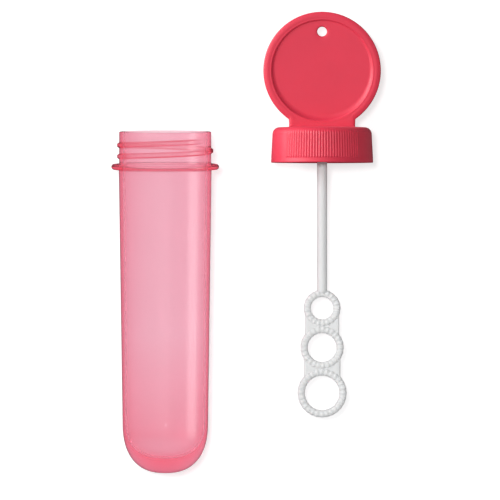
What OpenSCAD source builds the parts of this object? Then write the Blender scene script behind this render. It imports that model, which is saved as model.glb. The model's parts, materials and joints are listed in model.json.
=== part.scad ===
// Bubble wand set: a screw-neck tube with its cap taken off and laid beside it.
// The cap carries an upright round tag on top and the three-ring wand in its socket.
// Both lie on a flat surface with Z up: the tube's mouth and the cap's tag point along +Y.
// The origin is on that surface, under the middle of the whole set.

/* [Tube] */
// Length from the rim to the round end
tube_l = 107; // [70:0.5:160]
// Outer radius of the neck, between the thread's turns
neck_r = 14.4; // [13.6:0.05:20]
// Radius of the straight bore in the neck
bore_r = 12.65; // [8:0.05:13.2]
// Depth of the straight bore below the rim
bore_h = 14; // [8:0.5:30]
// Outer radius of the flange round the neck
flange_r = 16.85; // [16.3:0.05:22]
// Thickness of the flange, which has a half-round tip
flange_t = 1.8; // [1:0.1:3]
// Depth of the flange's upper face below the rim
flange_depth = 10.1; // [9:0.1:14]
// Outer radius of the body under the flange
body_top_r = 14.5; // [13.6:0.05:16]
// Outer radius of the body where the round end starts
body_low_r = 13.4; // [10:0.05:14]
// Height of the round end
dome_h = 16.3; // [8:0.1:30]
// Fullness of the round end: 2 is an ellipse, more is squarer
dome_power = 2.45; // [2:0.05:4]
// Wall of the body where the round end starts
tube_wall = 1.4; // [0.8:0.05:2.5]
// Thickness of the round end at its lowest point
bottom_t = 4.8; // [1:0.1:6]

/* [Thread] */
// Rise of the thread in one turn
thread_pitch = 3.5; // [3:0.1:4]
// Height of the neck's thread over the neck
thread_h = 0.65; // [0.3:0.05:0.8]
// Width of a thread at its foot
thread_root_w = 1.9; // [1:0.05:2]
// Width of a thread along its crest
thread_crest_w = 0.8; // [0.4:0.05:0.9]
// Turns of the neck's thread
neck_thread_turns = 1.54; // [1:0.02:1.7]
// Depth of the neck thread's upper end below the rim
neck_thread_depth = 2.8; // [2.2:0.1:3.2]
// Turns of the cap's thread
cap_thread_turns = 1.25; // [0.8:0.05:1.4]

/* [Cap] */
// Wall of the cap's skirt
skirt_wall = 0.83; // [0.7:0.01:2]
// Thickness of the cap's top
cap_top_t = 1.2; // [0.9:0.05:3]
// How much the skirt narrows towards the top, in radius
skirt_draft = 0.43; // [0:0.01:0.6]
// Radius of the rounding between skirt and top
shoulder_r = 2.2; // [0.5:0.05:3]
// Height of the seal ring that enters the tube's bore
plug_h = 2.4; // [1:0.1:4]
// Wall of the seal ring
plug_wall = 0.9; // [0.6:0.05:2]
// Ribs that a full turn of the skirt would hold
rib_count = 114; // [60:1:130]
// Angle that each of the two fields of ribs covers
rib_arc = 90; // [20:1:150]
// Height of a rib over the skirt
rib_h = 0.22; // [0.1:0.01:0.4]
// Width of a rib
rib_w = 0.45; // [0.3:0.01:0.6]
// Plain band between the skirt's edge and the ribs
rib_start = 1.4; // [0.6:0.1:3]

/* [Tag] */
// Radius of the round tag on the cap
tag_r = 18.4; // [12:0.1:26]
// Thickness of the tag's raised rim
tag_t = 2.6; // [1.8:0.1:4]
// Thickness of the tag inside its rim
tag_plate_t = 1.6; // [0.8:0.05:1.7]
// Width of the raised rim
tag_rim_w = 2.75; // [1.5:0.05:4]
// Height of the tag's middle above the cap's top
tag_rise = 17.75; // [17:0.05:18.1]
// Width of the foot that joins the tag to the cap
foot_w = 20.7; // [12:0.1:22]
// Radius of the cord hole
cord_hole_r = 1.5; // [0.8:0.05:2.2]
// Height of the cord hole above the tag's middle
cord_hole_rise = 12.2; // [6:0.1:12.6]

/* [Wand] */
// Radius of the stem
stem_r = 1.57; // [1.2:0.01:2.2]
// Depth of the smallest ring's middle below the cap's edge
ring_drop = 45.55; // [30:0.05:50]
// Radius of the hole in the smallest ring
small_hole_r = 3.45; // [3:0.05:4.5]
// Radius of the hole in the middle ring
middle_hole_r = 4.45; // [3.5:0.05:5.2]
// Radius of the hole in the largest ring
large_hole_r = 5.35; // [4:0.05:7]
// Width of the band round each hole
ring_band = 2.35; // [1.6:0.05:2.6]
// Thickness of a ring without its ridges
ring_t = 1.9; // [1.2:0.05:3]
// How far neighbouring rings run into each other
ring_lap = 0.3; // [0.1:0.05:1]
// Height of a ridge over the ring's face
ridge_h = 0.24; // [0.2:0.01:0.6]
// Width of a ridge at its foot
ridge_w = 0.95; // [0.6:0.05:1.1]
// Distance between ridges along the outside of a ring
ridge_pitch = 1.72; // [1.5:0.02:2.6]
// Width of the web between the smallest and the middle ring
upper_web_w = 10.7; // [8:0.1:11]
// Width of the web between the middle and the largest ring
lower_web_w = 11.5; // [9.6:0.1:12.4]
// Thickness of the webs
web_t = 1.3; // [0.8:0.05:1.8]

/* [Socket] */
// Radius of the peg on the stem's end
peg_r = 1.3; // [0.9:0.01:1.5]
// Length of the peg
peg_l = 5.6; // [3:0.1:6]
// Wall of the socket round the peg
socket_wall = 1.7; // [0.9:0.05:3]
// Depth of the socket's mouth inside the cap's edge
socket_inset = 3; // [1.5:0.1:4]

/* [Fits] */
// Radial gap between the thread's crest and the wall it turns in
thread_clear = 0.1; // [0.05:0.01:0.3]
// Gap between the cap's edge and the flange when the cap is screwed down
skirt_clear = 0.2; // [0.1:0.05:0.6]
// Radial gap between the seal ring and the tube's bore
plug_clear = 0.12; // [0.05:0.01:0.3]
// Radial gap between the peg and its socket
peg_clear = 0.05; // [0.02:0.01:0.1]
// Gap between the stem's shoulder and the socket's mouth
seat_clear = 0.05; // [0.02:0.01:0.2]
// Room left over the peg's end in the socket
peg_end_clear = 0.3; // [0.1:0.05:1]

/* [Layout] */
// Distance between the tube's axis and the cap's axis
axes_apart = 49.1; // [40:0.1:90]
// How far the tube's rim lies ahead of the cap's edge
rim_lead = 9.7; // [-20:0.1:30]

/* [Hidden] */
$fn = 96;

// Small edge breaks, the chamfer in the cap's inner corner and the overrun of cuts
tube_edge = 0.3;
cap_edge = 0.25;
cap_corner = 0.6;
tag_edge = 0.5;
ring_edge = 0.45;
overrun = 0.5;

// Places along the tube's own axis, measured up from its round end
flange_z = tube_l - flange_depth - flange_t / 2;
flange_tip_r = flange_t / 2;
bore_z = tube_l - bore_h;

// The cap fits the neck: its skirt clears the thread and its edge stops over the flange
skirt_in_r = neck_r + thread_h + thread_clear;
cap_r = skirt_in_r + skirt_wall;
cap_top_r = cap_r - skirt_draft;
cap_in_h = flange_depth - skirt_clear;
cap_h = cap_in_h + cap_top_t;
plug_r = bore_r - plug_clear;
// The cap lies on its edge or, where that stands out further, on its lowest rib
rib_crest_r = cap_r + rib_h - skirt_draft * rib_start / cap_h;
cap_rest_r = max(cap_r, rib_crest_r);
tag_z = cap_h + tag_rise;
recess_r = tag_r - tag_rim_w;

// The peg fits the socket
socket_r = peg_r + peg_clear;
socket_out_r = socket_r + socket_wall;
socket_h = seat_clear + peg_l + peg_end_clear;
stem_top_z = socket_inset - seat_clear;

// The rings, from the smallest to the largest, at their heights in the cap's frame
hole_rs = [small_hole_r, middle_hole_r, large_hole_r];
ring_gap_1 = small_hole_r + middle_hole_r + 2 * ring_band - ring_lap;
ring_gap_2 = middle_hole_r + large_hole_r + 2 * ring_band - ring_lap;
ring_zs = [-ring_drop, -ring_drop - ring_gap_1, -ring_drop - ring_gap_1 - ring_gap_2];
web_ws = [upper_web_w, lower_web_w];
wand_reach = large_hole_r + ring_band - ring_zs[2];

// Threads are swept in steps of this angle and fade out over this many steps
thread_step = 10;
thread_fade = 3;
// A thread reaches into its wall by this share of its height, and its ends are this share as wide
thread_sink_share = 0.6;
thread_end_share = 0.3;
neck_thread_sink = thread_sink_share * thread_h;
cap_thread_h = thread_h;
cap_thread_sink = thread_sink_share * cap_thread_h;

// Angle round the tube at which the neck's thread ends, seen from the mouth
neck_thread_end = -30;
// Height in the cap at which its thread starts
cap_thread_start_z = thread_root_w / 2 + cap_edge;

// Outline points as [radius, height]: an arc, and a superellipse for the round end
function arc(cr, cz, r, from, to, steps) =
    [for (i = [0:steps]) let (a = from + (to - from) * i / steps) [cr + r * cos(a), cz + r * sin(a)]];
dome_steps = 14;
function dome(r, h, z) = [
    for (i = [0:dome_steps]) let (a = 90 * i / dome_steps, e = 2 / dome_power)
        [r * pow(sin(a), e), z + h * (1 - pow(cos(a), e))]
];

outer_dome = dome(body_low_r, dome_h, 0);
flange_tip = arc(flange_r - flange_tip_r, flange_z, flange_tip_r, -90, 90, 8);
tube_outside = concat(
    outer_dome,
    [[body_top_r, flange_z - flange_tip_r]],
    flange_tip,
    [[neck_r, flange_z + flange_tip_r]],
    [[neck_r, tube_l - tube_edge]],
    [[neck_r - tube_edge, tube_l]]
);
inner_dome = dome(body_low_r - tube_wall, dome_h - bottom_t, bottom_t);
tube_inside = concat(
    inner_dome,
    [[bore_r, bore_z]],
    [[bore_r, tube_l - tube_edge]],
    [[bore_r + tube_edge, tube_l]]
);
function reversed(v) = [for (i = [len(v) - 1:-1:0]) v[i]];

// The tube rests on its flange and its round end, so its mouth is a little raised
function lean(p) = max([for (q = flange_tip) atan2(q[0] - p[0], q[1] - p[1])]);
tilt = min([for (p = outer_dome) lean(p)]);
function underside(p) = p[0] * cos(tilt) - p[1] * sin(tilt);
tube_z = max([for (p = tube_outside) underside(p)]);
tube_low_y = min([for (p = outer_dome) p[1] * cos(tilt) - p[0] * sin(tilt)]);
tube_high_y = tube_l * cos(tilt) + neck_r * sin(tilt);

// The set is centred on the origin: with the cap's edge and axis at zero it spans these
tube_y_raw = rim_lead - tube_l * cos(tilt);
low_y = min(tube_y_raw + tube_low_y, -wand_reach);
high_y = max(tube_y_raw + tube_high_y, tag_z + tag_r);
low_x = -axes_apart - flange_r;
high_x = max(tag_r, cap_r);
cap_x = -(low_x + high_x) / 2;
cap_y = -(low_y + high_y) / 2;
tube_x = cap_x - axes_apart;
tube_y = cap_y + tube_y_raw;

module at_tube() {
    translate([tube_x, tube_y, tube_z]) rotate([tilt - 90, 0, 0]) children();
}

module at_cap() {
    translate([cap_x, cap_y, cap_rest_r]) rotate([-90, 0, 0]) children();
}

// A rounded ridge that winds up a wall of radius r. It stands out by h, or inwards where h is
// negative, and reaches into the wall by sink. It fades out at both ends.
module thread(r, h, sink, z, from, turns) {
    n = round(360 * turns / thread_step);
    side = sign(h);
    function fade(i) = min(1, i / thread_fade, (n - i) / thread_fade);
    function crest(i) = r - side * sink / 2 + (h + side * sink / 2) * fade(i);
    function ring(i) =
        let (
            a = from + 360 * turns * i / n,
            m = z + thread_pitch * turns * i / n,
            f = thread_end_share + (1 - thread_end_share) * fade(i)
        )
        [for (p = [
            [r - side * sink, -f * thread_root_w / 2],
            [crest(i), -f * thread_crest_w / 2],
            [crest(i), f * thread_crest_w / 2],
            [r - side * sink, f * thread_root_w / 2]
        ]) [p[0] * cos(a), p[0] * sin(a), m + p[1]]];
    points = [for (i = [0:n]) each ring(i)];
    walls = [for (i = [0:n - 1], j = [0:3]) let (k = (j + 1) % 4)
        each [[4 * i + j, 4 * i + 4 + j, 4 * i + 4 + k], [4 * i + j, 4 * i + 4 + k, 4 * i + k]]];
    ends = [[0, 1, 2], [0, 2, 3], [4 * n, 4 * n + 2, 4 * n + 1], [4 * n, 4 * n + 3, 4 * n + 2]];
    faces = concat(walls, ends);
    polyhedron(points, h > 0 ? [for (f = faces) reversed(f)] : faces);
}

neck_thread_low_z = tube_l - neck_thread_depth - thread_pitch * neck_thread_turns;

module tube() {
    color([0.96, 0.62, 0.69, 0.6]) at_tube() {
        rotate_extrude() polygon(concat(tube_outside, reversed(tube_inside)));
        thread(neck_r, thread_h, neck_thread_sink, neck_thread_low_z,
            neck_thread_end - 360 * neck_thread_turns, neck_thread_turns);
    }
}

// Screwed down, the cap's thread lies midway between the turns of the neck's.
// A height in the cap is this much above the same place in the tube.
closed_z = tube_l - cap_in_h;
neck_thread_phase = neck_thread_end - 360 * neck_thread_turns
    + 360 * (cap_thread_start_z + closed_z + thread_pitch / 2 - neck_thread_low_z) / thread_pitch;

module cap_shell() {
    rotate_extrude() polygon(concat(
        [[0, cap_h]],
        reversed(arc(cap_top_r - shoulder_r, cap_h - shoulder_r, shoulder_r, 0, 90, 6)),
        [[cap_r, cap_edge]],
        [[cap_r - cap_edge, 0]],
        [[skirt_in_r + cap_edge, 0]],
        [[skirt_in_r, cap_edge]],
        [[skirt_in_r, cap_in_h - cap_corner]],
        [[skirt_in_r - cap_corner, cap_in_h]],
        [[0, cap_in_h]]
    ));
}

// A rib is a thin bar along the skirt. It has its full height up to one angle on the shoulder
// and has run out at the next. Its root lies at this share of the skirt's wall.
rib_pitch_angle = 360 / rib_count;
rib_half = floor(rib_arc / rib_pitch_angle / 2);
rib_full_angle = 20;
rib_out_angle = 50;
rib_root_share = 1 / 3;
module rib() {
    root_r = skirt_in_r + rib_root_share * skirt_wall;
    shoulder_z = cap_h - shoulder_r;
    rotate([90, 0, 0]) linear_extrude(rib_w, center = true) polygon(concat(
        [[root_r, rib_start]],
        [[cap_r - rib_h, rib_start]],
        [[rib_crest_r, rib_start + rib_h]],
        arc(cap_top_r + rib_h - shoulder_r, shoulder_z, shoulder_r, 0, rib_full_angle, 2),
        arc(cap_top_r - shoulder_r, shoulder_z, shoulder_r, rib_out_angle, rib_out_angle, 1),
        [[root_r, shoulder_z]]
    ));
}

module ribs() {
    for (side = [0, 180], i = [-rib_half:rib_half])
        rotate(side + 90 + i * rib_pitch_angle) rib();
}

// The seal ring narrows towards its free edge. The narrowed part is as high and as deep as
// these shares of the ring's wall.
plug_lead_h_share = 1 / 2;
plug_lead_r_share = 1 / 3;
module plug() {
    lead_h = plug_lead_h_share * plug_wall;
    lead_r = plug_r - plug_lead_r_share * plug_wall;
    translate([0, 0, cap_in_h - plug_h]) difference() {
        union() {
            cylinder(h = lead_h, r1 = lead_r, r2 = plug_r);
            translate([0, 0, lead_h]) cylinder(h = plug_h - lead_h + cap_top_t / 2, r = plug_r);
        }
        translate([0, 0, -overrun]) cylinder(h = 2 * overrun + plug_h + cap_top_t, r = plug_r - plug_wall);
    }
}

// The tag's section: a plate with a raised, rounded rim, the same on both faces. The rounding
// towards the plate stops short of upright by this angle.
recess_draft_angle = 10;
module tag_disc() {
    upper = concat(
        [[0, tag_plate_t / 2]],
        [[recess_r - tag_edge / 2, tag_plate_t / 2]],
        reversed(arc(recess_r + tag_edge, tag_t / 2 - tag_edge, tag_edge, 90, 180 - recess_draft_angle, 3)),
        reversed(arc(tag_r - tag_edge, tag_t / 2 - tag_edge, tag_edge, 0, 90, 3))
    );
    rotate_extrude() polygon(concat(upper, reversed([for (p = upper) [p[0], -p[1]]])));
}

// The foot follows the middle of the tag's rim at its upper end
module tag_foot() {
    mid_r = tag_r - tag_rim_w / 2;
    half_angle = asin(foot_w / 2 / mid_r);
    rotate([90, 0, 0]) linear_extrude(tag_t, center = true) polygon(concat(
        [[-foot_w / 2, cap_h - cap_top_t / 2]],
        [[foot_w / 2, cap_h - cap_top_t / 2]],
        arc(0, tag_z, mid_r, half_angle - 90, -half_angle - 90, 8)
    ));
}

module tag() {
    difference() {
        union() {
            translate([0, 0, tag_z]) rotate([90, 0, 0]) tag_disc();
            tag_foot();
        }
        translate([0, 0, tag_z + cord_hole_rise]) rotate([90, 0, 0])
            cylinder(h = tag_t + 2 * overrun, r = cord_hole_r, center = true);
    }
}

module cap() {
    color([0.85, 0.26, 0.34]) at_cap() difference() {
        union() {
            cap_shell();
            ribs();
            plug();
            tag();
            translate([0, 0, socket_inset])
                cylinder(h = cap_in_h - socket_inset + cap_top_t / 2, r = socket_out_r);
            thread(skirt_in_r, -cap_thread_h, cap_thread_sink, cap_thread_start_z,
                neck_thread_phase, cap_thread_turns);
        }
        translate([0, 0, socket_inset - overrun])
            cylinder(h = overrun + socket_h, r = socket_r);
    }
}

// One ring with ridges across both faces. Its axis is Z, its middle the origin. A ridge's crest
// is this share as wide as its foot.
ridge_crest_share = 1 / 2;
module ring(hole_r) {
    out_r = hole_r + ring_band;
    n = round(2 * PI * out_r / ridge_pitch);
    corner_rs = [hole_r + ring_edge, out_r - ring_edge];
    corner_z = ring_t / 2 - ring_edge;
    rotate_extrude() polygon(concat(
        arc(corner_rs[1], corner_z, ring_edge, 0, 90, 3),
        arc(corner_rs[0], corner_z, ring_edge, 90, 180, 3),
        arc(corner_rs[0], -corner_z, ring_edge, 180, 270, 3),
        arc(corner_rs[1], -corner_z, ring_edge, 270, 360, 3)
    ));
    top_z = ring_t / 2 + ridge_h;
    foot = ridge_w / 2;
    crest = ridge_crest_share * foot;
    for (i = [0:n - 1])
        rotate(360 * i / n) translate([corner_rs[0] - ring_edge / 2, 0, 0])
            rotate([90, 0, 90]) linear_extrude(ring_band - ring_edge) polygon([
                [foot, 0], [crest, top_z], [-crest, top_z],
                [-foot, 0], [-crest, -top_z], [crest, -top_z]
            ]);
}

// The flat plate that fills the notches between two neighbouring rings
module web(i) {
    difference() {
        translate([-web_ws[i] / 2, -web_t / 2, ring_zs[i + 1]])
            cube([web_ws[i], web_t, ring_zs[i] - ring_zs[i + 1]]);
        for (k = [i, i + 1])
            translate([0, 0, ring_zs[k]]) rotate([90, 0, 0])
                cylinder(h = web_t + 2 * overrun, r = hole_rs[k] + ring_band / 2, center = true);
    }
}

module wand() {
    stem_low_z = ring_zs[0] + small_hole_r + ring_band / 2;
    color([0.97, 0.97, 0.97]) at_cap() {
        translate([0, 0, stem_low_z]) cylinder(h = stem_top_z - stem_low_z, r = stem_r);
        translate([0, 0, stem_top_z - overrun]) cylinder(h = overrun + peg_l - peg_r / 2, r = peg_r);
        translate([0, 0, stem_top_z + peg_l - peg_r / 2])
            cylinder(h = peg_r / 2, r1 = peg_r, r2 = peg_r / 2);
        for (i = [0:2])
            translate([0, 0, ring_zs[i]]) rotate([90, 0, 0]) ring(hole_rs[i]);
        for (i = [0:1])
            web(i);
    }
}

tube();
cap();
wand();
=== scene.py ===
import json

import bpy
import numpy as np
from bpy.props import FloatProperty, FloatVectorProperty, IntProperty, PointerProperty
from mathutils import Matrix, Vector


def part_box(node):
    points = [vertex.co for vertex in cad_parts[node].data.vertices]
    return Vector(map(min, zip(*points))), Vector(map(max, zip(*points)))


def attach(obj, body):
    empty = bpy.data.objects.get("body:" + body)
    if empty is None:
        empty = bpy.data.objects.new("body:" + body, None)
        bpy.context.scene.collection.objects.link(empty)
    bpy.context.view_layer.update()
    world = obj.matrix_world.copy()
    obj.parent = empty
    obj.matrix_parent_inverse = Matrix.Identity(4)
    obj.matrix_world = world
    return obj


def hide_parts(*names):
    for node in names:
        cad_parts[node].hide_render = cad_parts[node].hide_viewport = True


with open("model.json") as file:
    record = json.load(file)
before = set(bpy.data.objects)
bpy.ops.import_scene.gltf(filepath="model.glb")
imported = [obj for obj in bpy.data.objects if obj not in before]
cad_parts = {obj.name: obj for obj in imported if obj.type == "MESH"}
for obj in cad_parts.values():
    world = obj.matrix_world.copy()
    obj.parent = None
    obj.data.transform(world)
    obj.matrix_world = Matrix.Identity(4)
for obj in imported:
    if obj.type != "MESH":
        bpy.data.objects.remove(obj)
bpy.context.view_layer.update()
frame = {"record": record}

bl_info = {
    "name": "Bubble wand set",
    "version": (1, 0, 0),
    "blender": (4, 5, 0),
    "location": "3D View > Sidebar > Bubble wand",
    "description": "Dresses a bubble tube, its cap with a round tag, and its three-ring wand",
    "category": "Object",
}

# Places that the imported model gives: the axis that the cap and the wand share, the cap's open
# edge, which is its lowest Y since its skirt faces that way, and the tag's middle
MOUNTS = {m["name"]: m for m in frame["record"]["mounts"]}
JOINTS = {j["name"]: j for j in frame["record"]["behaviour"]["joints"]}
AXIS_X, _, AXIS_Z = JOINTS["wand_turn"]["pos_m"]
CAP_EDGE_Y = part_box("cap")[0][1]
TAG_Y = MOUNTS["tag_face"]["pos_m"][1]


def length(name, text, default):
    """A length in metres that a user can change."""
    return FloatProperty(
        name=name, description=text, default=default, unit="LENGTH", subtype="DISTANCE", precision=5
    )


def colour(name, text, default):
    """A colour that a user can change, given as the screen shows it."""
    light = [linear(v) for v in default]
    return FloatVectorProperty(
        name=name, description=text, default=light, subtype="COLOR", size=3, min=0, max=1
    )


def linear(v):
    """A screen value from 0 to 255 as the linear light that Blender works in."""
    v = v / 255
    return v / 12.92 if v <= 0.04045 else ((v + 0.055) / 1.055) ** 2.4


class TubeSizes(bpy.types.PropertyGroup):
    """Sizes of the tube, along and round its own axis."""

    tube_l: length("Length", "From the rim to the round end", 0.107)
    neck_r: length("Neck radius", "Outside, between the thread's turns", 0.0144)
    bore_r: length("Bore radius", "Inside of the neck", 0.01265)
    bore_h: length("Bore depth", "Straight part of the inside", 0.014)
    flange_r: length("Flange radius", "Out to its rounded tip", 0.01685)
    flange_t: length("Flange thickness", "Across its rounded tip", 0.0018)
    flange_depth: length("Flange depth", "From the rim to its upper face", 0.0101)
    body_top_r: length("Body radius, top", "Outside, under the flange", 0.0145)
    body_low_r: length("Body radius, low", "Outside, where the round end starts", 0.0134)
    dome_h: length("Round end height", "From its lowest point to the body", 0.0163)
    wall: length("Wall", "Thickness at the top of the round end", 0.0014)
    bottom_t: length("Bottom", "Thickness at the lowest point", 0.0048)
    dome_power: FloatProperty(
        name="Fullness", description="Of the round end: 2 is an ellipse, more is squarer", default=2.45
    )


class ThreadSizes(bpy.types.PropertyGroup):
    """Sizes that the neck's and the cap's threads share."""

    pitch: length("Pitch", "Rise in one turn", 0.0035)
    height: length("Height", "Out from the wall it winds up", 0.00065)
    root_w: length("Foot width", "Where it leaves the wall", 0.0019)
    crest_w: length("Crest width", "Along its crest", 0.0008)
    neck_turns: FloatProperty(name="Neck turns", description="Turns on the neck", default=1.54)
    cap_turns: FloatProperty(name="Cap turns", description="Turns in the cap", default=1.25)
    neck_end: FloatProperty(
        name="Neck end", description="Angle of its upper end about the axis", default=-0.5236,
        subtype="ANGLE",
    )
    neck_depth: length("Depth on the neck", "Upper end below the rim", 0.0028)


class CapSizes(bpy.types.PropertyGroup):
    """Sizes of the cap and its tag."""

    edge_r: length("Edge radius", "Outside of the skirt at its open edge", 0.01598)
    inner_r: length("Inner radius", "Inside of the skirt", 0.01515)
    draft: length("Draft", "How much the skirt narrows to the top", 0.00043)
    height: length("Height", "From the edge to the top", 0.0111)
    inner_h: length("Inner height", "From the edge to the top's underside", 0.0099)
    shoulder_r: length("Shoulder radius", "Rounding between skirt and top", 0.0022)
    rib_h: length("Rib height", "Out from the skirt", 0.00022)
    rib_start: length("Plain band", "From the edge to the ribs", 0.0014)
    rib_count: IntProperty(name="Ribs in a turn", description="If they went all round", default=114)
    plug_r: length("Seal radius", "Outside of the ring that seals the bore", 0.01253)
    plug_wall: length("Seal wall", "Thickness of that ring", 0.0009)
    plug_h: length("Seal height", "Down from the top's underside", 0.0024)
    socket_r: length("Socket radius", "Inside, round the wand's peg", 0.00135)
    socket_out_r: length("Socket outside", "Radius of its boss", 0.00305)
    socket_inset: length("Socket inset", "From the cap's edge to its mouth", 0.003)
    socket_h: length("Socket depth", "From its mouth to its end", 0.00595)
    tag_r: length("Tag radius", "Out to its rim", 0.0184)
    tag_t: length("Tag rim thickness", "Across both faces of the rim", 0.0026)
    tag_plate_t: length("Tag plate thickness", "Inside the rim", 0.0016)
    tag_rim_w: length("Tag rim width", "From the recess to the edge", 0.00275)
    tag_rise: length("Tag rise", "From the cap's top to the tag's middle", 0.01775)
    foot_w: length("Foot width", "Where the tag joins the cap", 0.0207)
    hole_r: length("Cord hole radius", "Near the tag's edge", 0.0015)
    hole_rise: length("Cord hole rise", "Above the tag's middle", 0.0122)


class WandSizes(bpy.types.PropertyGroup):
    """Sizes of the wand."""

    stem_r: length("Stem radius", "Outside of the round stem", 0.00157)
    ring_drop: length("First ring", "Its middle below the cap's edge", 0.04555)
    small_r: length("Small hole radius", "Ring nearest the cap", 0.00345)
    middle_r: length("Middle hole radius", "Middle ring", 0.00445)
    large_r: length("Large hole radius", "Ring at the end", 0.00535)
    band: length("Band width", "Round each hole", 0.00235)
    ring_t: length("Ring thickness", "Without its ridges", 0.0019)
    lap: length("Lap", "How far neighbouring rings run together", 0.0003)
    ridge_h: length("Ridge height", "Over the ring's face", 0.00024)
    ridge_pitch: length("Ridge distance", "Along the outside of a ring", 0.00172)
    upper_web_w: length("Upper web width", "Between the small and the middle ring", 0.0107)
    lower_web_w: length("Lower web width", "Between the middle and the large ring", 0.0115)
    web_t: length("Web thickness", "Both webs", 0.0013)
    peg_r: length("Peg radius", "In the cap's socket", 0.0013)
    peg_l: length("Peg length", "Up from the stem's shoulder", 0.0056)
    seat_gap: length("Seat gap", "From the socket's mouth to the stem's shoulder", 0.00005)


class Finishes(bpy.types.PropertyGroup):
    """Colours of the three plastics, and the tube's painted shade, as the screen shows them."""

    tube_colour: colour("Tube body", "Surface of the see-through wall", (255, 245, 248))
    neck_colour: colour("Tube neck", "The same at the neck and the flange", (255, 243, 246))
    low_colour: colour("Tube low", "The same where the round end starts", (255, 226, 232))
    end_colour: colour("Tube end", "The same at the round end", (255, 253, 254))
    # Painted shade: the darkening that refraction and reflection give the thread and the flange, painted
    # in this colour
    thread_shade_colour: colour("Tube thread", "The same in the thread's deepest lines", (240, 66, 94))
    tube_deep_colour: colour("Tube depth", "What light keeps in the wall", (255, 114, 161))
    cap_colour: colour("Cap", "Solid red-pink", (213, 39, 67))
    wand_colour: colour("Wand", "White", (234, 235, 235))


class StageSettings(bpy.types.PropertyGroup):
    """Camera, lights and floor."""

    view_mm: FloatProperty(
        name="Width seen", description="Millimetres across the picture at the axes", default=156.5
    )
    distance: length("Camera distance", "Above the axes of the tube and the cap", 2.4)
    centre_x: length("Centre X", "Middle of the picture", 0.00121)
    centre_y: length("Centre Y", "Middle of the picture", -0.00234)
    key_power: FloatProperty(name="Key light", description="Watts, from the left", default=6.0)
    top_power: FloatProperty(name="Top light", description="Watts, from overhead", default=16.0)
    side_power: FloatProperty(
        name="Tube's side light", description="Watts, low on the right, on the tube alone", default=5.5
    )
    cap_side_power: FloatProperty(
        name="Cap's side light", description="Watts, low on the left, on the cap alone", default=10.5
    )
    card_power: FloatProperty(name="Overhead card", description="Watts, for gloss alone", default=9.5)
    sky: FloatProperty(name="Sky", description="Strength of the even light from all round", default=0.32)


def run(a, b, n):
    """n points along a straight line from a to b, without b itself."""
    t = np.arange(n)[:, None] / n
    return np.array(a) * (1 - t) + np.array(b) * t


def bend(centre, r, start, end, n):
    """n + 1 points on a circle's arc between two angles in degrees."""
    a = np.radians(np.linspace(start, end, n + 1))
    return np.column_stack([centre[0] + r * np.cos(a), centre[1] + r * np.sin(a)])


def step(low, high, v):
    """A smooth step from 0 at low to 1 at high: 3t^2 - 2t^3."""
    t = np.clip((v - low) / (high - low), 0, 1)
    return t * t * (3 - 2 * t)


def revolve(profile, angles):
    """Turns a profile of [radius, height] about Z: x = r cos a, y = r sin a, z = height."""
    r, z = profile[:, 0][:, None], profile[:, 1][:, None]
    return np.stack([r * np.cos(angles), r * np.sin(angles), z + 0 * angles], axis=-1)


def push(points, amount):
    """Moves points out from the Z axis by an amount for each."""
    r = np.hypot(points[..., 0], points[..., 1])
    k = (r + amount) / np.maximum(r, 1e-9)
    return np.stack([points[..., 0] * k, points[..., 1] * k, points[..., 2]], axis=-1)


def on_verts(values):
    """Values on a grid with a pole at either end, in the order of shell's vertices."""
    return np.concatenate([values[1:-1].ravel(), values[0, :1], values[-1, :1]])


def shell(points, closed=False):
    """Vertices and faces of a grid of points. Columns join end to end, and rows too where closed.
    A first or last row that is a single point becomes a pole, and another open end is an error."""
    low = not closed and np.ptp(points[0], axis=0).max() < 1e-9
    high = not closed and np.ptp(points[-1], axis=0).max() < 1e-9
    if not closed and not (low and high):
        raise ValueError("an open end in a surface")
    rings = points[int(low):len(points) - int(high)]
    n, m = rings.shape[:2]
    verts = rings.reshape(-1, 3)
    i = np.arange(n if closed else n - 1)[:, None]
    j = np.arange(m)[None, :]
    up, on = (i + 1) % n, (j + 1) % m
    faces = np.stack([i * m + j, i * m + on, up * m + on, up * m + j], axis=-1).reshape(-1, 4).tolist()
    if not closed:
        verts = np.vstack([verts, points[0][:1], points[-1][:1]])
        a, b = n * m, n * m + 1
        c = np.arange(m)
        d = (c + 1) % m
        top = (n - 1) * m
        faces += np.column_stack([d, c, np.full(m, a)]).tolist()
        faces += np.column_stack([top + c, top + d, np.full(m, b)]).tolist()
    if volume(verts, faces) < 0:
        faces = [f[::-1] for f in faces]
    return verts, faces


def volume(verts, faces):
    """The volume inside a closed surface, negative if its faces point inwards."""
    tris = np.array([f[:3] for f in faces] + [[f[0], f[2], f[3]] for f in faces if len(f) == 4])
    a, b, c = (verts[tris[:, k]] for k in range(3))
    return np.einsum("ij,ij->i", a, np.cross(b, c)).sum() / 6


def piece(name, surface, material, body, slot, *nodes):
    """One mesh object from a closed surface, riding on a body in place of CAD nodes."""
    verts, faces = surface
    mesh = bpy.data.meshes.new(name)
    mesh.from_pydata(verts.tolist(), [], faces)
    mesh.validate()
    mesh.shade_smooth()
    mesh.materials.append(material)
    obj = bpy.data.objects.new(name, mesh)
    bpy.context.scene.collection.objects.link(obj)
    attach(obj, body)
    if nodes:
        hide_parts(*nodes)
    return obj


# The mouth's mount lies this far below the rim
MOUTH_MOUNT_DEPTH = 0.001


def at_tube(points, tube_l):
    """Carries points from the tube's own frame, Z up from its round end, to where it lies."""
    along = np.array(MOUNTS["mouth"]["axis"])
    along = along / np.linalg.norm(along)
    rim = np.array(MOUNTS["mouth"]["pos_m"]) + along * MOUTH_MOUNT_DEPTH
    side = np.array([1.0, 0.0, 0.0])
    down = np.cross(along, side)
    start = rim - along * tube_l
    return start + points[..., :1] * side + points[..., 1:2] * down + points[..., 2:] * along


def at_cap(points):
    """Carries points from the cap's own frame, Z up from its edge, to where it lies."""
    x, y, z = points[..., 0], points[..., 1], points[..., 2]
    return np.stack([AXIS_X + x, CAP_EDGE_Y + z, AXIS_Z - y], axis=-1)


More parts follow.
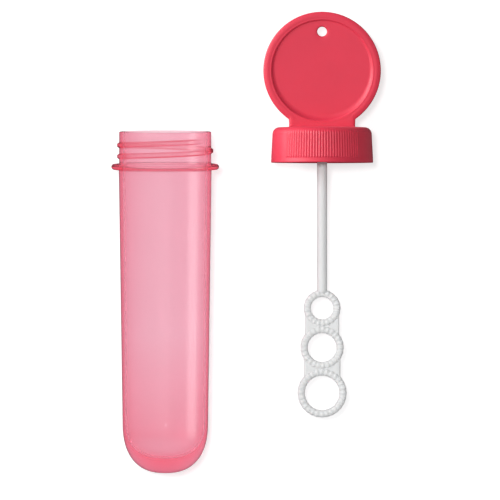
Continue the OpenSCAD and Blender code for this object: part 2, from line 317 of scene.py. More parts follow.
# Angle over which a thread rises at either end
THREAD_FADE = np.radians(32)


def ridge(points, low_z, start, turns, sizes):
    """Height of a thread at each point: a rounded trapezoid across a helix that climbs by the
    pitch in a turn, z = low_z + pitch (a - start) / (2 pi), and fades out at both ends."""
    a = np.arctan2(points[..., 1], points[..., 0])
    z = points[..., 2]
    rise = sizes.pitch / (2 * np.pi)
    turn = np.round((z - low_z - rise * (a - start)) / sizes.pitch)
    whole = a + 2 * np.pi * turn - start
    off = np.abs(z - low_z - rise * whole)
    ends = step(0, THREAD_FADE, whole) * step(0, THREAD_FADE, 2 * np.pi * turns - whole)
    across = 1 - step(sizes.crest_w / 2, sizes.root_w / 2, off)
    return sizes.height * ends * across


def round_end(r, h, z, power, n):
    """A superellipse from the axis out: r sin^(2/p), z + h (1 - cos^(2/p)), for 0 to 90 degrees."""
    a = np.radians(np.linspace(0, 90, n + 1))
    e = 2 / power
    return np.column_stack([r * np.sin(a) ** e, z + h * (1 - np.clip(np.cos(a), 0, 1) ** e)])


# Rounding of the tube's rim and of the flange's two inner corners, and degrees between columns
TUBE_EDGE = 0.00032
FLANGE_FILLET = 0.0004
TUBE_STEP = 1.5

# Painted shade: how much of the thread's shade colour is painted where refraction and reflection
# would darken the clear wall: on the thread all over, more on its flanks, most on the lower one, and on
# the flange, more under it
THREAD_PAINTED_SHADE = 0.4
LOW_FLANK_PAINTED_SHADE = 0.7
HIGH_FLANK_PAINTED_SHADE = 0.45
FLANGE_PAINTED_SHADE = 0.2
FLANGE_UNDER_PAINTED_SHADE = 0.4


def tube_surface(s, t):
    """The tube as one closed surface: the outline up the outside and down the inside, turned
    about the axis, with the thread pushed out of the neck. Beside it come two marks for each
    vertex: 1 on the bore, and how much shade is painted on the thread and the flange."""
    tip = s.flange_t / 2
    flange_z = s.tube_l - s.flange_depth - tip
    edge, fillet = TUBE_EDGE, FLANGE_FILLET
    outside = [
        round_end(s.body_low_r, s.dome_h, 0, s.dome_power, 46)[:-1],
        run([s.body_low_r, s.dome_h], [s.body_top_r, flange_z - tip - fillet], 22),
        bend([s.body_top_r + fillet, flange_z - tip - fillet], fillet, 180, 90, 4),
        run([s.body_top_r + 2 * fillet, flange_z - tip], [s.flange_r - tip, flange_z - tip], 2),
        bend([s.flange_r - tip, flange_z], tip, -90, 90, 12),
        run([s.flange_r - 1.5 * tip, flange_z + tip], [s.neck_r + fillet, flange_z + tip], 2),
        bend([s.neck_r + fillet, flange_z + tip + fillet], fillet, 270, 180, 4)[1:],
        run([s.neck_r, flange_z + tip + 1.2 * fillet], [s.neck_r, s.tube_l - edge], 104),
        bend([s.neck_r - edge, s.tube_l - edge], edge, 0, 90, 5),
    ]
    bore_z = s.tube_l - s.bore_h
    inside = [
        bend([s.bore_r + edge, s.tube_l - edge], edge, 90, 180, 5),
        run([s.bore_r, s.tube_l - 1.4 * edge], [s.bore_r, bore_z], 4),
        run([s.bore_r, bore_z], [s.body_low_r - s.wall, s.dome_h], 16),
        round_end(s.body_low_r - s.wall, s.dome_h - s.bottom_t, s.bottom_t, s.dome_power, 40)[::-1],
    ]
    profile = np.vstack(outside + inside)
    points = revolve(profile, np.radians(np.arange(0, 360, TUBE_STEP)))
    low_z = s.tube_l - t.neck_depth - t.pitch * t.neck_turns
    start = t.neck_end - 2 * np.pi * t.neck_turns
    outer = np.zeros(len(profile), bool)
    outer[:sum(len(part) for part in outside)] = True
    neck = outer & (profile[:, 1] > flange_z + tip + 1.1 * fillet)
    height = ridge(points, low_z, start, t.neck_turns, t) * neck[:, None]
    rise = np.gradient(height, axis=0)
    rise /= rise.max()
    # Painted shade: the thread and the flange get more of the thread's shade colour where refraction and
    # reflection would darken them
    deep = THREAD_PAINTED_SHADE * height / t.height
    deep += LOW_FLANK_PAINTED_SHADE * np.maximum(rise, 0)
    deep += HIGH_FLANK_PAINTED_SHADE * np.maximum(-rise, 0)
    above = profile[:, 1] - flange_z
    flange = outer & (np.abs(above) < 1.1 * tip) & (profile[:, 0] > s.body_top_r + fillet)
    under = step(0.3 * tip, -0.9 * tip, above)
    deep += (flange * (FLANGE_PAINTED_SHADE + FLANGE_UNDER_PAINTED_SHADE * under))[:, None]
    bore = np.repeat(~outer[:, None], points.shape[1], axis=1)
    marks = {"bore": on_verts(bore), "deep": on_verts(deep)}
    return shell(at_tube(push(points, height), s.tube_l)), marks


# Half the angle of a field of ribs, columns of the grid to a rib, and how full a rib's crest is:
# less than 1 is fuller
RIB_FIELD = np.radians(45)
RIB_COLUMNS = 8
RIB_POWER = 0.8


def cap_angles(count):
    """Angles round the cap: some to each rib in the two rib fields, and coarse between them."""
    pitch = 2 * np.pi / count
    half = (np.floor(RIB_FIELD / pitch) + 1) * RIB_COLUMNS
    fine = np.arange(-half, half + 1) * pitch / RIB_COLUMNS
    gap = np.linspace(fine[-1], np.pi - fine[-1], 34)[1:-1]
    one = np.concatenate([fine, gap])
    return np.concatenate([one, one + np.pi]) + np.pi / 2


def rib_height(points, s):
    """Height of the ribs at each point of the skirt: a raised cosine for each rib, in a
    field at the front and one at the back, fading out above the plain band and on the shoulder."""
    a = np.arctan2(points[..., 1], points[..., 0])
    z = points[..., 2]
    off = np.abs(np.abs(a) - np.pi / 2)
    pitch = 2 * np.pi / s.rib_count
    field = off < (np.floor(RIB_FIELD / pitch) + 0.5) * pitch
    wave = 0.5 + 0.5 * np.cos((np.abs(a) - np.pi / 2) / pitch * 2 * np.pi)
    low = step(s.rib_start, s.rib_start + 2 * s.rib_h, z)
    high = 1 - step(s.height - s.shoulder_r, s.height - 0.2 * s.shoulder_r, z)
    return s.rib_h * field * wave ** RIB_POWER * low * high


# Rounding of the cap's inner and outer corners, and the gap between its edge and its thread
CAP_EDGE = 0.00022
CAP_THREAD_LIFT = 0.00025


def cap_surface(s, t):
    """The cap without its tag as one closed surface, from the socket's end down the inside,
    round the edge, up the skirt and over the top, with its thread pushed in and its ribs out."""
    e = CAP_EDGE
    in_h = s.inner_h
    plug_in_r = s.plug_r - s.plug_wall
    tip = s.plug_wall / 2
    mouth = s.socket_inset
    inner = [
        run([0, mouth + s.socket_h], [s.socket_r, mouth + s.socket_h], 3),
        run([s.socket_r, mouth + s.socket_h], [s.socket_r, mouth + e], 4),
        run([s.socket_r, mouth + e], [s.socket_r + e, mouth], 1),
        bend([s.socket_out_r - e, mouth + e], e, 270, 360, 3),
        run([s.socket_out_r, mouth + 2 * e], [s.socket_out_r, in_h - 2 * e], 3),
        bend([s.socket_out_r + 2 * e, in_h - 2 * e], 2 * e, 180, 90, 3),
        bend([plug_in_r - 2 * e, in_h - 2 * e], 2 * e, 90, 0, 3),
        run([plug_in_r, in_h - 3 * e], [plug_in_r, in_h - s.plug_h + e], 3),
        bend([s.plug_r - tip, in_h - s.plug_h + tip], tip, 180, 360, 8),
        run([s.plug_r, in_h - s.plug_h + s.plug_wall], [s.plug_r, in_h - e], 2),
        run([s.plug_r, in_h], [s.inner_r - 2 * e, in_h], 2),
        bend([s.inner_r - 2 * e, in_h - 2 * e], 2 * e, 90, 0, 3),
    ]
    skirt_in = run([s.inner_r, in_h - 3 * e], [s.inner_r, e], 76)
    # The skirt's radius where its plain band ends and where the ribs have their full height
    band_r = s.edge_r - s.draft * 0.1
    field_r = s.edge_r - s.draft * 0.15
    field_z = s.rib_start + 3 * s.rib_h
    top_r = s.edge_r - s.draft
    middle = [
        bend([s.inner_r + e, e], e, 180, 270, 3),
        bend([s.edge_r - e, e], e, 270, 360, 3),
        run([s.edge_r, 1.5 * e], [band_r, s.rib_start], 4),
    ]
    skirt_out = np.vstack([
        run([band_r, s.rib_start], [field_r, field_z], 8),
        run([field_r, field_z], [top_r, s.height - s.shoulder_r], 14),
        bend([top_r - s.shoulder_r, s.height - s.shoulder_r], s.shoulder_r, 0, 90, 18),
    ])
    over = [
        run([top_r - 1.3 * s.shoulder_r, s.height], [0, s.height], 5),
        np.array([[0, s.height]]),
    ]
    angles = cap_angles(s.rib_count)
    start_z = t.root_w / 2 + CAP_THREAD_LIFT
    # Screwed down, the neck's rim meets the top's underside. The cap's thread then starts this far
    # over the low end of the neck's, and half a pitch more puts it midway between its turns
    over_neck = start_z - in_h + t.neck_depth + t.pitch * t.neck_turns
    start = t.neck_end - 2 * np.pi * t.neck_turns + 2 * np.pi * (over_neck + t.pitch / 2) / t.pitch
    inside = revolve(skirt_in, angles)
    inside = push(inside, -ridge(inside, start_z, start, t.cap_turns, t))
    outside = revolve(skirt_out, angles)
    outside = push(outside, rib_height(outside, s))
    points = np.concatenate([
        revolve(np.vstack(inner), angles), inside, revolve(np.vstack(middle), angles), outside,
        revolve(np.vstack(over), angles),
    ])
    return shell(at_cap(points))


# How far the foot's base is sunk into the cap's top, and the tag's roundings: the corners where
# its circle meets the foot, the cord hole's edge, the outline's edge, the crown of the rim and
# the hollow where the foot meets the cap
TAG_SINK = 0.0006
TAG_CORNER = 0.0003
HOLE_EDGE = 0.0004
TAG_EDGE = 0.00055
RIM_CROWN = 0.00015
FOOT_FILLET = 0.0007


def tag_outline(a, s):
    """Distance from the tag's middle to its outline at each angle: a circle, and below it the
    foot's two upright sides and its base, sunk a little into the cap's top. The corners where
    the circle meets the foot are filled by a smooth maximum of the two."""
    side = s.foot_w / 2 / np.maximum(np.abs(np.cos(a)), 1e-6)
    base = (s.tag_rise + TAG_SINK) / np.maximum(-np.sin(a), 1e-6)
    foot = np.minimum(side, base) * (np.sin(a) < 0)
    gap = foot - s.tag_r
    return s.tag_r + 0.5 * (gap + np.sqrt(gap * gap + TAG_CORNER * TAG_CORNER)) * (np.sin(a) < 0)


def tag_angles(s):
    """Angles round the tag, close together where its outline has corners."""
    half = s.foot_w / 2
    corner = np.arctan2(-s.tag_rise - TAG_SINK, half)
    meet = -np.arccos(half / s.tag_r)
    near = np.linspace(-0.05, 0.05, 21)
    close = [c + near for c in (corner, -np.pi - corner, meet, -np.pi - meet)]
    marks = np.sort(np.concatenate([np.linspace(-np.pi, np.pi, 200, endpoint=False), *close]))
    return marks[np.concatenate([[True], np.diff(marks) > 1e-4])]


def tag_surface(s):
    """The tag and its foot as one closed surface: rings run from the cord hole's wall over the
    recessed face, up a quarter circle and over the crowned rim to the outline, and back over
    the other face. Between the hole and the recess a ring is a blend of the two circles."""
    a = tag_angles(s)
    ring_dir = np.stack([np.cos(a), np.sin(a)], axis=-1)
    hole_c = np.array([0, s.hole_rise])
    recess = s.tag_r - s.tag_rim_w
    plate, rim = s.tag_plate_t / 2, s.tag_t / 2
    lip = rim - plate
    out = tag_outline(a, s)
    rows = []

    def ring(radius, height, centre=(0, 0)):
        """One more row: a circle, or a radius for each angle, at a height over the tag's middle."""
        flat = np.array(centre) + np.broadcast_to(np.asarray(radius), a.shape)[:, None] * ring_dir
        rows.append(np.column_stack([flat, np.full(len(a), height)]))

    for k in np.radians(np.linspace(0, 90, 4)):
        ring(s.hole_r + HOLE_EDGE * (1 - np.cos(k)), plate - HOLE_EDGE * (1 - np.sin(k)), hole_c)
    for t in np.linspace(0, 1, 16)[1:]:
        ring((1 - t) * (s.hole_r + HOLE_EDGE) + t * recess, plate, (1 - t) * hole_c)
    for k in np.radians(np.linspace(8, 82, 8)):
        ring(recess + lip * (1 - np.cos(k)), plate + lip * np.sin(k))
    start = recess + lip
    for t in np.linspace(0, 1, 9)[1:]:
        ring(start + t * (out - TAG_EDGE - start), rim - RIM_CROWN * (2 * t - 1) ** 2)
    for k in np.radians(np.linspace(0, 90, 7)[1:]):
        ring(out - TAG_EDGE * (1 - np.sin(k)), rim - RIM_CROWN - TAG_EDGE * (1 - np.cos(k)))
    front = np.array(rows)
    back = front[::-1].copy()
    back[..., 2] *= -1
    points = np.concatenate([front, back])
    near = s.tag_rise + points[..., 1]
    fillet = FOOT_FILLET
    d = np.clip(near, 0, fillet)
    flare = (fillet - np.sqrt(np.maximum(fillet ** 2 - (fillet - d) ** 2, 0))) * (near < fillet)
    points[..., 2] += np.sign(points[..., 2]) * flare
    return shell(points + np.array([AXIS_X, TAG_Y, AXIS_Z]), closed=True)


def superellipse(c, power):
    """Across and up on a unit superellipse: cos and sin of each angle with their size to the
    power 2/p and their sign kept. A circle where p is 2, and squarer where it is more."""
    def side(v):
        """One of the two, with its size raised and its sign kept."""
        return np.sign(v) * np.abs(v) ** (2 / power)

    return side(np.cos(c)), side(np.sin(c))


# A ring's section: how square it is, how far its edges swing in and out with the ridges, and the
# height of a ridge at the hole as a share of its full height
RING_POWER = 2.3
RING_SWING = 0.00008
RIDGE_INNER_SHARE = 0.35


def ring_surface(hole_r, y, s):
    """One ring as a closed surface: a superellipse across the band, carried round the hole,
    thicker at each ridge, and most so on the outer half of the band."""
    out_r = hole_r + s.band
    n = round(2 * np.pi * out_r / s.ridge_pitch)
    a = np.linspace(0, 2 * np.pi, n * 12, endpoint=False)[None, :]
    c = np.linspace(0, 2 * np.pi, 32, endpoint=False)[:, None]
    bead = 0.5 + 0.5 * np.cos(n * a)
    across, up = superellipse(c, RING_POWER)
    r = hole_r + s.band / 2 + across * (s.band / 2 - RING_SWING + RING_SWING * bead)
    outer = RIDGE_INNER_SHARE + (1 - RIDGE_INNER_SHARE) * step(-0.7, 0.3, across)
    z = up * (s.ring_t / 2 + s.ridge_h * bead * outer)
    points = np.stack([AXIS_X + r * np.cos(a), y + r * np.sin(a), AXIS_Z + z], axis=-1)
    return shell(points, closed=True)


# A web's section: how square it is, the rounding of its long edges as a share of its thickness,
# and the columns between them
WEB_POWER = 6
WEB_EDGE_SHARE = 0.4
WEB_COLUMNS = 31


def web_surface(upper, lower, width, s):
    """A flat web as a closed surface: superellipse sections, each from the middle of one ring's
    band to the middle of the next one's, carried across the web's width, with its two long
    edges rounded by quarter circles."""
    edge = s.web_t * WEB_EDGE_SHARE
    k = np.radians(np.linspace(0, 90, 6))
    side = width / 2 - edge * (1 - np.sin(k[::-1]))
    flat = np.linspace(-side[-1], side[-1], WEB_COLUMNS + 2)[1:-1]
    x = np.concatenate([-side, flat, side[::-1]])[:, None]
    half = s.web_t / 2 - edge * (1 - np.cos(k[::-1]))
    half = np.concatenate([half, np.full(WEB_COLUMNS, s.web_t / 2), half[::-1]])[:, None]

    def arc(ring, way):
        """The middle line of a ring's band at each x, above its hole's middle or below it."""
        r = ring[0] + s.band / 2
        return ring[1] + way * np.sqrt(np.maximum(r * r - x * x, 0))

    high, low = arc(upper, -1), arc(lower, 1)
    c = np.linspace(0, 2 * np.pi, 40, endpoint=False)[None, :]
    along, up = superellipse(c, WEB_POWER)
    y = (high + low) / 2 + (high - low) / 2 * along
    points = np.stack([AXIS_X + x + 0 * c, y, AXIS_Z + half * up], axis=-1)
    ends = [points[i:i + 1].mean(axis=1, keepdims=True) + 0 * points[:1] for i in (0, len(points) - 1)]
    return shell(np.concatenate([ends[0], points, ends[1]]))


# Rounding of the stem's shoulder, degrees between its columns, and how far up the first ring's
# band it ends, as a share of the band's width
STEM_EDGE = 0.00018
STEM_STEP = 7.5
STEM_END_SHARE = 0.55


def stem_surface(ring_z, s, inset):
    """The stem and its peg as one closed surface, turned about the cap's axis."""
    top = inset - s.seat_gap
    e = STEM_EDGE
    profile = np.vstack([
        [[0, ring_z]],
        bend([s.stem_r - 3 * e, ring_z + 3 * e], 3 * e, -90, 0, 4),
        run([s.stem_r, ring_z + 4 * e], [s.stem_r, top - e], 10),
        bend([s.stem_r - e, top - e], e, 0, 90, 3),
        run([s.peg_r + e, top], [s.peg_r, top], 1),
        run([s.peg_r, top], [s.peg_r, top + s.peg_l - s.peg_r / 2], 3),
        bend([s.peg_r / 2, top + s.peg_l - s.peg_r / 2], s.peg_r / 2, 0, 90, 4),
        [[0, top + s.peg_l]],
    ])
    return shell(at_cap(revolve(profile, np.radians(np.arange(0, 360, STEM_STEP)))))


# Index of refraction of all three plastics, and the unevenness of a moulded surface in metres
PLASTIC_IOR = 1.49
GRAIN_SIZE = 0.0005
GRAIN_HEIGHT = 0.00002


def plastic(name, base):
    """A new material, its nodes and links, its Principled node and one for Object coordinates."""
    mat = bpy.data.materials.new(name)
    mat.use_nodes = True
    nodes, links = mat.node_tree.nodes, mat.node_tree.links
    shader = nodes["Principled BSDF"]
    shader.inputs["Base Color"].default_value = (*base, 1)
    place = nodes.new("ShaderNodeTexCoord")
    return mat, nodes, links, shader, place


def noise(nodes, links, place, scale, detail=3):
    """Fractal noise of a given scale in metres on Object coordinates."""
    tex = nodes.new("ShaderNodeTexNoise")
    tex.inputs["Scale"].default_value = 1 / scale
    tex.inputs["Detail"].default_value = detail
    links.new(place.outputs["Object"], tex.inputs["Vector"])
    return tex


def spread(nodes, links, source, low, high):
    """Maps a noise's middle range to a range of values."""
    span = nodes.new("ShaderNodeMapRange")
    span.inputs["From Min"].default_value = 0.3
    span.inputs["From Max"].default_value = 0.7
    span.inputs["To Min"].default_value = low
    span.inputs["To Max"].default_value = high
    links.new(source.outputs["Fac"], span.inputs["Value"])
    return span


def grain(nodes, links, place, shader):
    """A faint unevenness of a moulded surface, as bump."""
    tex = noise(nodes, links, place, GRAIN_SIZE, 4)
    bump = nodes.new("ShaderNodeBump")
    bump.inputs["Strength"].default_value = 0.5
    bump.inputs["Distance"].default_value = GRAIN_HEIGHT
    links.new(tex.outputs["Fac"], bump.inputs["Height"])
    links.new(bump.outputs["Normal"], shader.inputs["Normal"])


def tint(nodes, links, place, shader, base, scale, dark, light):
    """Slow colour variation, as pigment flows in a moulding."""
    tex = noise(nodes, links, place, scale, 2)
    mix = nodes.new("ShaderNodeMix")
    mix.data_type = "RGBA"
    mix.inputs["A"].default_value = (*[v * dark for v in base], 1)
    mix.inputs["B"].default_value = (*[min(v * light, 1) for v in base], 1)
    fac = spread(nodes, links, tex, 0, 1)
    links.new(fac.outputs["Result"], mix.inputs["Factor"])
    links.new(mix.outputs["Result"], shader.inputs["Base Color"])


def calculate(nodes, links, operation, *inputs):
    """One Math node; its inputs are numbers or sockets, and it gives its output socket."""
    node = nodes.new("ShaderNodeMath")
    node.operation = operation
    for socket, value in zip(node.inputs, inputs):
        if isinstance(value, float):
            socket.default_value = value
        else:
            links.new(value, socket)
    return node.outputs["Value"]


def mark(nodes, name):
    """The socket of one of the tube's own marks."""
    node = nodes.new("ShaderNodeAttribute")
    node.attribute_name = name
    return node.outputs["Fac"]


def tube_tint_and_painted_shade(nodes, links, place, shader, finishes):
    """Surface colour of the tube along its length, from the round end to the rim, with painted
    shade on the thread and the flange, and a slow variation as pigment flows in a moulding."""
    near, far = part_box("tube")
    split = nodes.new("ShaderNodeSeparateXYZ")
    links.new(place.outputs["Object"], split.inputs["Vector"])
    share = nodes.new("ShaderNodeMapRange")
    share.inputs["From Min"].default_value = near[1]
    share.inputs["From Max"].default_value = far[1]
    links.new(split.outputs["Y"], share.inputs["Value"])
    ramp = nodes.new("ShaderNodeValToRGB")
    body, neck = finishes.tube_colour, finishes.neck_colour
    low, end = finishes.low_colour, finishes.end_colour
    # Colours at shares of the tube's length from its round end
    stops = ((0.04, end), (0.11, low), (0.4, body), (0.87, body), (0.92, neck))
    elements = ramp.color_ramp.elements
    while len(elements) < len(stops):
        elements.new(0.5)
    for element, (position, _) in zip(elements, stops):
        element.position = position
    for element, (_, value) in zip(elements, stops):
        element.color = (*value, 1)
    links.new(share.outputs["Result"], ramp.inputs["Fac"])
    # Painted shade on the thread and under the flange, mixed in by the tube's own mark
    deeper = nodes.new("ShaderNodeMix")
    deeper.data_type = "RGBA"
    links.new(mark(nodes, "deep"), deeper.inputs["Factor"])
    links.new(ramp.outputs["Color"], deeper.inputs["A"])
    deeper.inputs["B"].default_value = (*finishes.thread_shade_colour, 1)
    flow = spread(nodes, links, noise(nodes, links, place, 0.03, 2), 0.985, 1.01)
    mix = nodes.new("ShaderNodeVectorMath")
    mix.operation = "SCALE"
    links.new(deeper.outputs["Result"], mix.inputs["Vector"])
    links.new(flow.outputs["Result"], mix.inputs["Scale"])
    links.new(mix.outputs["Vector"], shader.inputs["Base Color"])


# Gloss of the tube's outside, and how much hazier its bore is
TUBE_COAT = 0.8
BORE_HAZE = 0.1


def tube_plastic(finishes):
    """Hazy see-through pink: slightly rough glass whose body takes more of the green and the
    blue the longer the way through the wall is, so that the flanks and the flange look deeper,
    under a tinted gloss that the bore doesn't have."""
    mat, nodes, links, shader, place = plastic("tube_pink_clear", finishes.tube_colour)
    shader.inputs["Transmission Weight"].default_value = 0.92
    shader.inputs["IOR"].default_value = 1.06
    shader.inputs["Coat Tint"].default_value = (1, 0.8, 0.86, 1)
    shader.inputs["Coat IOR"].default_value = PLASTIC_IOR
    shader.inputs["Coat Roughness"].default_value = 0.27
    tube_tint_and_painted_shade(nodes, links, place, shader, finishes)
    bore = mark(nodes, "bore")
    glaze = calculate(nodes, links, "MULTIPLY", bore, -TUBE_COAT)
    links.new(calculate(nodes, links, "ADD", glaze, TUBE_COAT), shader.inputs["Coat Weight"])
    rough = spread(nodes, links, noise(nodes, links, place, 0.006), 0.11, 0.13)
    haze = calculate(nodes, links, "MULTIPLY", bore, BORE_HAZE)
    links.new(calculate(nodes, links, "ADD", haze, rough.outputs["Result"]), shader.inputs["Roughness"])
    body = nodes.new("ShaderNodeVolumeAbsorption")
    body.inputs["Color"].default_value = (*finishes.tube_deep_colour, 1)
    body.inputs["Density"].default_value = 92
    links.new(body.outputs["Volume"], nodes["Material Output"].inputs["Volume"])
    return mat


def cap_plastic(base):
    """Solid red-pink with a satin gloss and faint flow marks."""
    mat, nodes, links, shader, place = plastic("cap_red_pink", base)
    shader.inputs["IOR"].default_value = PLASTIC_IOR
    shader.inputs["Specular IOR Level"].default_value = 0.8
    shader.inputs["Sheen Weight"].default_value = 0.1
    shader.inputs["Sheen Roughness"].default_value = 0.5
    shader.inputs["Sheen Tint"].default_value = (1, 0.65, 0.72, 1)
    shader.inputs["Subsurface Weight"].default_value = 0.1
    shader.inputs["Subsurface Radius"].default_value = (1.0, 0.3, 0.3)
    shader.inputs["Subsurface Scale"].default_value = 0.0006
    tint(nodes, links, place, shader, base, 0.012, 0.96, 1.03)
    rough = spread(nodes, links, noise(nodes, links, place, 0.003), 0.46, 0.54)
    links.new(rough.outputs["Result"], shader.inputs["Roughness"])
    grain(nodes, links, place, shader)
    return mat


def wand_plastic(base):
    """White, a little milky, with a soft gloss."""
    mat, nodes, links, shader, place = plastic("wand_white", base)
    shader.inputs["IOR"].default_value = PLASTIC_IOR
    shader.inputs["Subsurface Weight"].default_value = 0.25
    shader.inputs["Subsurface Radius"].default_value = (1.0, 0.95, 0.9)
    shader.inputs["Subsurface Scale"].default_value = 0.0008
    tint(nodes, links, place, shader, base, 0.008, 0.98, 1.01)
    rough = spread(nodes, links, noise(nodes, links, place, 0.002), 0.3, 0.4)
    links.new(rough.outputs["Result"], shader.inputs["Roughness"])
    grain(nodes, links, place, shader)
    return mat


class MakeTube(bpy.types.Operator):
    """Build the see-through tube with its threaded neck"""

    bl_idname = "bubble_wand.make_tube"
    bl_label = "Make tube"

    def execute(self, context):
        scene = context.scene
        mat = tube_plastic(scene.bubble_finishes)
        shape, marks = tube_surface(scene.bubble_tube, scene.bubble_thread)
        tube = piece("clear_tube", shape, mat, "tube", "tube_plastic", "tube")
        for name, values in marks.items():
            layer = tube.data.attributes.new(name, "FLOAT", "POINT")
            layer.data.foreach_set("value", values.astype(np.float32))
        bpy.data.collections[TUBE_LIT].objects.link(tube)
        return {"FINISHED"}


class MakeCap(bpy.types.Operator):
    """Build the ribbed screw cap and its round tag"""

    bl_idname = "bubble_wand.make_cap"
    bl_label = "Make cap"

    def execute(self, context):
        scene = context.scene
        mat = cap_plastic(scene.bubble_finishes.cap_colour)
        sizes = scene.bubble_cap
        surfaces = {"screw_cap": cap_surface(sizes, scene.bubble_thread), "round_tag": tag_surface(sizes)}
        for name, surface in surfaces.items():
            obj = piece(name, surface, mat, "cap", "cap_plastic", "cap")
            bpy.data.collections[CAP_LIT].objects.link(obj)
        return {"FINISHED"}


class MakeWand(bpy.types.Operator):
    """Build the stem, the three ridged rings and the webs between them"""

    bl_idname = "bubble_wand.make_wand"
    bl_label = "Make wand"

    def execute(self, context):
        scene = context.scene
        s = scene.bubble_wand
        mat = wand_plastic(scene.bubble_finishes.wand_colour)
        holes = [s.small_r, s.middle_r, s.large_r]
        drops = [-s.ring_drop]
        for a, b in zip(holes, holes[1:]):
            drops.append(drops[-1] - a - b - 2 * s.band + s.lap)
        rings = [(hole, CAP_EDGE_Y + z) for hole, z in zip(holes, drops)]
        stem_end = drops[0] + s.small_r + s.band * STEM_END_SHARE
        surfaces = {"wand_stem": stem_surface(stem_end, s, scene.bubble_cap.socket_inset)}
        for name, (hole, y) in zip(("small_ring", "middle_ring", "large_ring"), rings):
            surfaces[name] = ring_surface(hole, y, s)
        surfaces["upper_web"] = web_surface(rings[0], rings[1], s.upper_web_w, s)
        surfaces["lower_web"] = web_surface(rings[1], rings[2], s.lower_web_w, s)
        for name, surface in surfaces.items():
            piece(name, surface, mat, "wand", "wand_plastic", "wand")
        return {"FINISHED"}


# The floor: half its width in metres, its grey value, how much it glows by itself where it is
# seen straight, and its brightness where it is seen through the tube
FLOOR_HALF = 3.0
FLOOR_GREY = 0.6
FLOOR_GLOW = 0.64
FLOOR_THROUGH_TUBE = 1.0


def floor_material():
    """White paper: it takes the set's shadow, and to the camera it is lit up to plain white.
    Through the clear tube it is an even white, and gloss doesn't show it."""
    mat = bpy.data.materials.new("white_floor")
    mat.use_nodes = True
    nodes, links = mat.node_tree.nodes, mat.node_tree.links
    nodes.remove(nodes["Principled BSDF"])
    path = nodes.new("ShaderNodeLightPath")
    paper = nodes.new("ShaderNodeBsdfDiffuse")
    matt = calculate(nodes, links, "SUBTRACT", 1.0, path.outputs["Is Glossy Ray"])
    links.new(calculate(nodes, links, "MULTIPLY", matt, FLOOR_GREY), paper.inputs["Color"])
    lit = nodes.new("ShaderNodeEmission")
    glow = calculate(nodes, links, "MULTIPLY", path.outputs["Is Camera Ray"], FLOOR_GLOW)
    links.new(glow, lit.inputs["Strength"])
    both = nodes.new("ShaderNodeAddShader")
    links.new(paper.outputs["BSDF"], both.inputs[0])
    links.new(lit.outputs["Emission"], both.inputs[1])
    even = nodes.new("ShaderNodeEmission")
    even.inputs["Strength"].default_value = FLOOR_THROUGH_TUBE
    pick = nodes.new("ShaderNodeMixShader")
    links.new(path.outputs["Is Transmission Ray"], pick.inputs["Fac"])
    links.new(both.outputs["Shader"], pick.inputs[1])
    links.new(even.outputs["Emission"], pick.inputs[2])
    links.new(pick.outputs["Shader"], nodes["Material Output"].inputs["Surface"])
    return mat


# How much of the even light reflections see
SKY_TO_GLOSS = 0.2


def sky(strength):
    """An even white light from all round, plain white where it is seen itself and dim to gloss."""
    world = bpy.data.worlds.new("even_sky")
    bpy.context.scene.world = world
    world.use_nodes = True
    nodes, links = world.node_tree.nodes, world.node_tree.links
    path = nodes.new("ShaderNodeLightPath")
    rays = path.outputs["Is Camera Ray"], path.outputs["Is Transmission Ray"]
    level = nodes.new("ShaderNodeMapRange")
    level.inputs["To Min"].default_value = strength
    level.inputs["To Max"].default_value = 1
    links.new(calculate(nodes, links, "MAXIMUM", *rays), level.inputs["Value"])
    dimmed = calculate(nodes, links, "MULTIPLY", path.outputs["Is Glossy Ray"], 1 - SKY_TO_GLOSS)
    share = calculate(nodes, links, "SUBTRACT", 1.0, dimmed)
    light = calculate(nodes, links, "MULTIPLY", level.outputs["Result"], share)
    nodes["Background"].inputs["Color"].default_value = (1, 1, 1, 1)
    links.new(light, nodes["Background"].inputs["Strength"])


# Collections of what the two side lights fall on
TUBE_LIT = "tube_lit"
CAP_LIT = "cap_lit"

# Width of the three nearer lamps, the height at which all are aimed, and the camera's sensor
SOFTBOX_SIZE = 0.6
AIM_HEIGHT = 0.016
SENSOR_MM = 36


def softbox(name, place, target, size, power, lit=None):
    """A square area light that faces a target, and may fall on one collection alone."""
    data = bpy.data.lights.new(name, "AREA")
    data.size = size
    data.energy = power
    obj = bpy.data.objects.new(name, data)
    bpy.context.scene.collection.objects.link(obj)
    if lit:
        obj.light_linking.receiver_collection = bpy.data.collections.new(lit)
    obj.location = place
    away = np.array(place) - np.array(target)
    obj.rotation_euler = direction(away)
    return obj


def direction(away):
    """Euler angles that point an object's own Z along a vector."""
    x, y, z = away
    return (np.arctan2(np.hypot(x, y), z), 0, np.arctan2(y, x) + np.pi / 2)


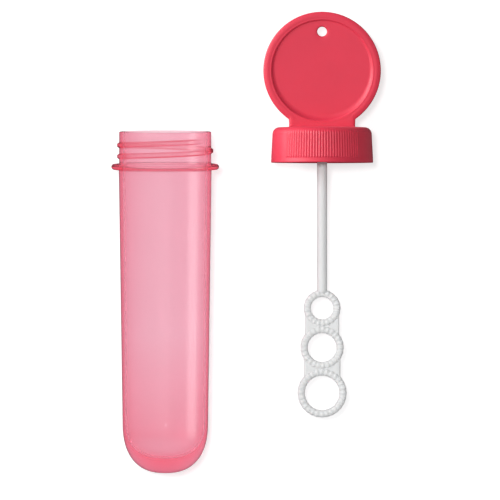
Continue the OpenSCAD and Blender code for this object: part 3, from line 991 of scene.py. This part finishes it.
class MakeStage(bpy.types.Operator):
    """Set the floor, the lights and the camera"""

    bl_idname = "bubble_wand.make_stage"
    bl_label = "Make stage"

    def execute(self, context):
        scene = context.scene
        s = scene.bubble_stage
        mesh = bpy.data.meshes.new("floor")
        corners = [(x * FLOOR_HALF, y * FLOOR_HALF, 0) for x, y in ((-1, -1), (1, -1), (1, 1), (-1, 1))]
        mesh.from_pydata(corners, [], [(0, 1, 2, 3)])
        mesh.materials.append(floor_material())
        floor = bpy.data.objects.new("floor", mesh)
        scene.collection.objects.link(floor)
        sky(s.sky)
        middle = (s.centre_x, s.centre_y, AIM_HEIGHT)
        size = SOFTBOX_SIZE
        softbox("key_light", (-0.9, 0.35, 0.8), middle, size, s.key_power)
        top = softbox("top_light", (-0.15, 0.15, 2.0), middle, 0.2, s.top_power)
        top.visible_glossy = False
        side = softbox("right_side_light", (0.8, 0.0, 0.15), middle, size, s.side_power, TUBE_LIT)
        softbox("left_side_light", (-0.82, 0.38, 0.14), middle, size, s.cap_side_power, CAP_LIT)
        card = softbox("overhead_card", (-0.3, 0.2, 2.7), middle, 2.0, s.card_power)
        card.visible_diffuse = False
        for light in (side, card):
            light.visible_transmission = False
        data = bpy.data.cameras.new("camera")
        data.sensor_width = SENSOR_MM
        data.lens = SENSOR_MM * s.distance * 1000 / s.view_mm
        data.clip_end = 20
        camera = bpy.data.objects.new("camera", data)
        camera.location = (s.centre_x, s.centre_y, AXIS_Z + s.distance)
        scene.collection.objects.link(camera)
        scene.camera = camera
        scene.view_settings.view_transform = "Standard"
        return {"FINISHED"}


class BubblePanel(bpy.types.Panel):
    """Buttons and sizes for the set"""

    bl_idname = "VIEW3D_PT_bubble_wand"
    bl_label = "Bubble wand"
    bl_space_type = "VIEW_3D"
    bl_region_type = "UI"
    bl_category = "Bubble wand"

    def draw(self, context):
        layout = self.layout
        for cls in OPERATORS:
            layout.operator(cls.bl_idname)
        for name in GROUPS:
            group = getattr(context.scene, name)
            box = layout.box()
            for prop in group.__annotations__:
                box.prop(group, prop)


GROUPS = {
    "bubble_tube": TubeSizes,
    "bubble_thread": ThreadSizes,
    "bubble_cap": CapSizes,
    "bubble_wand": WandSizes,
    "bubble_finishes": Finishes,
    "bubble_stage": StageSettings,
}
OPERATORS = (MakeStage, MakeTube, MakeCap, MakeWand)


def register():
    for cls in (*GROUPS.values(), *OPERATORS, BubblePanel):
        bpy.utils.register_class(cls)
    for name, cls in GROUPS.items():
        setattr(bpy.types.Scene, name, PointerProperty(type=cls))


def unregister():
    for name in GROUPS:
        delattr(bpy.types.Scene, name)
    for cls in (BubblePanel, *OPERATORS, *reversed(GROUPS.values())):
        bpy.utils.unregister_class(cls)


def main():
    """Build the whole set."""
    register()
    bpy.ops.bubble_wand.make_stage()
    bpy.ops.bubble_wand.make_tube()
    bpy.ops.bubble_wand.make_cap()
    bpy.ops.bubble_wand.make_wand()


if __name__ == "__main__":
    main()
